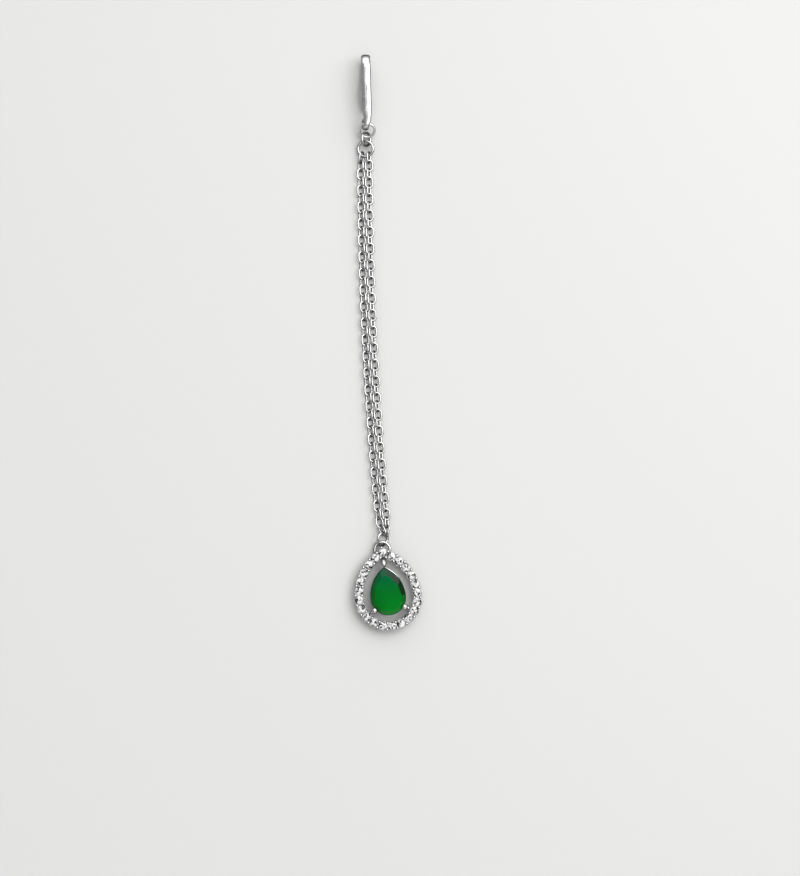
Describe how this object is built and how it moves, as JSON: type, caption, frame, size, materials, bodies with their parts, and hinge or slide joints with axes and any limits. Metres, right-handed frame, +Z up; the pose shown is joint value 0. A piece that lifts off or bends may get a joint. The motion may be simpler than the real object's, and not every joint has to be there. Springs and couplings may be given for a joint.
{
  "type": "maang tikka",
  "caption": "Forehead jewel: green pear stone in a pear-shaped halo of clear round stones, on parallel strands of cable chain with a hair hook.",
  "frame": {"origin": "middle of the whole jewel's length and width, on the surface that it lies on", "axes": "+Y along the jewel towards the hook's bend, +X across it to the right seen from above, +Z up out of the stones' tables"},
  "size_m": [0.0116, 0.0974, 0.0044],
  "materials": {
    "silver": "polished rhodium-plated silver",
    "clear_stone": "faceted, colourless",
    "green_stone": "faceted, emerald green"
  },
  "bodies": {
    "root": {"hook": "silver", "ring_hook": "silver", "ring_middle": "silver", "ring_chain": "silver", "chain_left": "silver", "chain_right": "silver", "ring_pendant": "silver", "pendant_setting": "silver", "centre_stone": "green_stone", "halo_stone_01": "clear_stone", "halo_stone_02": "clear_stone", "halo_stone_03": "clear_stone", "halo_stone_04": "clear_stone", "halo_stone_05": "clear_stone", "halo_stone_06": "clear_stone", "halo_stone_07": "clear_stone", "halo_stone_08": "clear_stone", "halo_stone_09": "clear_stone", "halo_stone_10": "clear_stone", "halo_stone_11": "clear_stone", "halo_stone_12": "clear_stone", "halo_stone_13": "clear_stone", "halo_stone_14": "clear_stone", "halo_stone_15": "clear_stone", "halo_stone_16": "clear_stone", "halo_stone_17": "clear_stone", "halo_stone_18": "clear_stone", "halo_stone_19": "clear_stone", "halo_stone_20": "clear_stone", "halo_stone_21": "clear_stone", "halo_stone_22": "clear_stone"}
  },
  "joints": []
}
